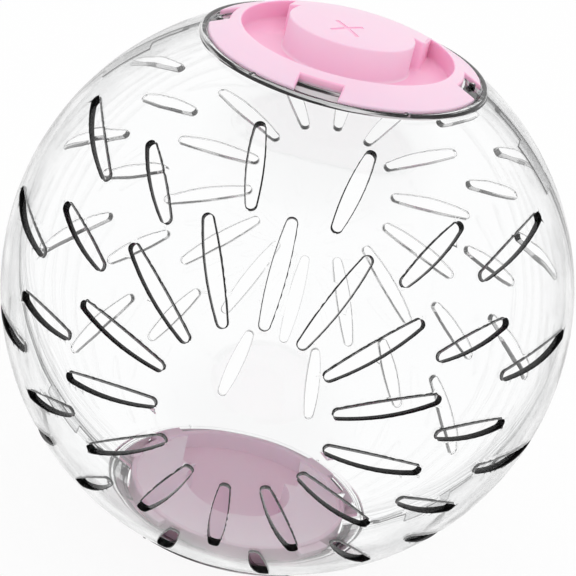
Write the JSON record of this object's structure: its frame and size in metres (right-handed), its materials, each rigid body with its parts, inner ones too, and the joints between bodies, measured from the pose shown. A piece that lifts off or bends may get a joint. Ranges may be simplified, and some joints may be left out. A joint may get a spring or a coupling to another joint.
{
  "type": "hamster ball",
  "caption": "Clear plastic exercise ball for a small pet: two slotted half shells with a twist-on pink lid in the doorway at each end.",
  "frame": {"origin": "centre of the ball", "axes": "+Z along the common axis of the two doorways, towards the upper lid; -Y towards the pole of the front half shell, so that the seam lies in the XZ plane; +X to the right as seen from the front half"},
  "size_m": [0.18, 0.18, 0.18],
  "materials": {
    "clear_shell": "water-clear moulded plastic, polished on both faces",
    "pink_lid": "pale pink moulded plastic, slightly translucent, smooth with a soft gloss"
  },
  "bodies": {
    "shell": {"front_half_shell": "clear_shell", "rear_half_shell": "clear_shell"},
    "upper_lid": {"upper_lid": "pink_lid"},
    "lower_lid": {"lower_lid": "pink_lid"}
  },
  "joints": [
    {"name": "upper_lid_lift", "type": "slide", "parent": "shell", "child": "upper_lid", "axis": [0, 0, 1], "range_m": [0, 0.1]},
    {"name": "lower_lid_lift", "type": "slide", "parent": "shell", "child": "lower_lid", "axis": [0, 0, -1], "range_m": [0, 0.1]}
  ]
}
